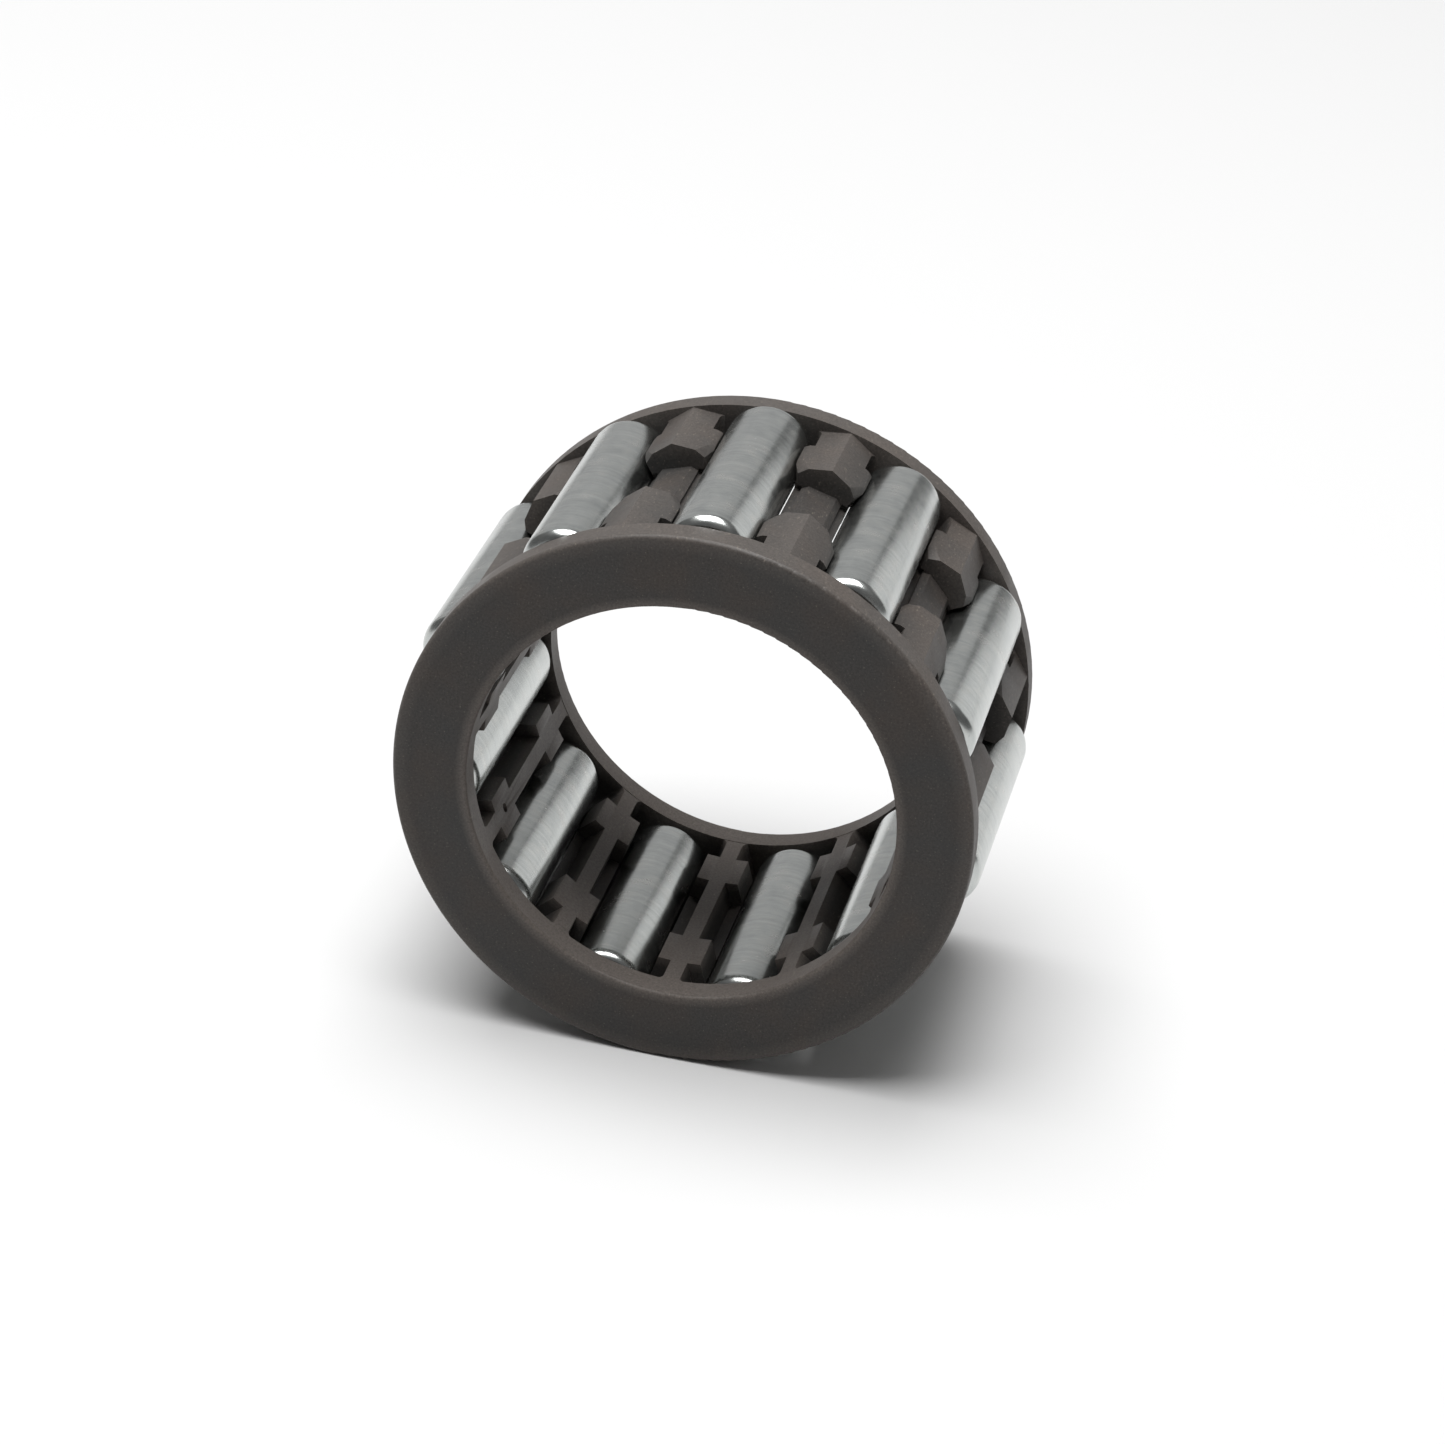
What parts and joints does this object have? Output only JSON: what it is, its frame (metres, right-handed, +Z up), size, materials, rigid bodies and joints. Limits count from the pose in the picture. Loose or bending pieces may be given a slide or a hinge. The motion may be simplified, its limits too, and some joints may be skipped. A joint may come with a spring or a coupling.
{
  "type": "needle roller and cage assembly",
  "caption": "Radial needle roller and cage assembly: a one-piece moulded cage holds a ring of ground steel rollers with rounded ends in open pockets.",
  "frame": {"origin": "on the bearing axis, at the centre of the cage's bore at mid-width", "axes": "+Y along the bearing axis, from the front face to the back face; +Z up through the middle of roller_01; +X to the right seen from the front"},
  "size_m": [0.0278, 0.016, 0.0276],
  "materials": {
    "cage": "moulded glass-filled polyamide, dark warm grey, satin",
    "roller": "ground bearing steel, satin sides and bright rounded ends"
  },
  "bodies": {
    "cage": {"cage": "cage"},
    "roller_01": {"roller_01": "roller"},
    "roller_02": {"roller_02": "roller"},
    "roller_03": {"roller_03": "roller"},
    "roller_04": {"roller_04": "roller"},
    "roller_05": {"roller_05": "roller"},
    "roller_06": {"roller_06": "roller"},
    "roller_07": {"roller_07": "roller"},
    "roller_08": {"roller_08": "roller"},
    "roller_09": {"roller_09": "roller"},
    "roller_10": {"roller_10": "roller"},
    "roller_11": {"roller_11": "roller"}
  },
  "joints": [
    {"name": "roller_01_spin", "type": "hinge", "parent": "cage", "child": "roller_01", "pos_m": [0, 0, 0.012], "axis": [0, 1, 0], "continuous": true},
    {"name": "roller_02_spin", "type": "hinge", "parent": "cage", "child": "roller_02", "pos_m": [0.00649, 0, 0.01009], "axis": [0, 1, 0], "continuous": true},
    {"name": "roller_03_spin", "type": "hinge", "parent": "cage", "child": "roller_03", "pos_m": [0.01092, 0, 0.00498], "axis": [0, 1, 0], "continuous": true},
    {"name": "roller_04_spin", "type": "hinge", "parent": "cage", "child": "roller_04", "pos_m": [0.01188, 0, -0.00171], "axis": [0, 1, 0], "continuous": true},
    {"name": "roller_05_spin", "type": "hinge", "parent": "cage", "child": "roller_05", "pos_m": [0.00907, 0, -0.00786], "axis": [0, 1, 0], "continuous": true},
    {"name": "roller_06_spin", "type": "hinge", "parent": "cage", "child": "roller_06", "pos_m": [0.00338, 0, -0.01151], "axis": [0, 1, 0], "continuous": true},
    {"name": "roller_07_spin", "type": "hinge", "parent": "cage", "child": "roller_07", "pos_m": [-0.00338, 0, -0.01151], "axis": [0, 1, 0], "continuous": true},
    {"name": "roller_08_spin", "type": "hinge", "parent": "cage", "child": "roller_08", "pos_m": [-0.00907, 0, -0.00786], "axis": [0, 1, 0], "continuous": true},
    {"name": "roller_09_spin", "type": "hinge", "parent": "cage", "child": "roller_09", "pos_m": [-0.01188, 0, -0.00171], "axis": [0, 1, 0], "continuous": true},
    {"name": "roller_10_spin", "type": "hinge", "parent": "cage", "child": "roller_10", "pos_m": [-0.01092, 0, 0.00498], "axis": [0, 1, 0], "continuous": true},
    {"name": "roller_11_spin", "type": "hinge", "parent": "cage", "child": "roller_11", "pos_m": [-0.00649, 0, 0.01009], "axis": [0, 1, 0], "continuous": true}
  ]
}
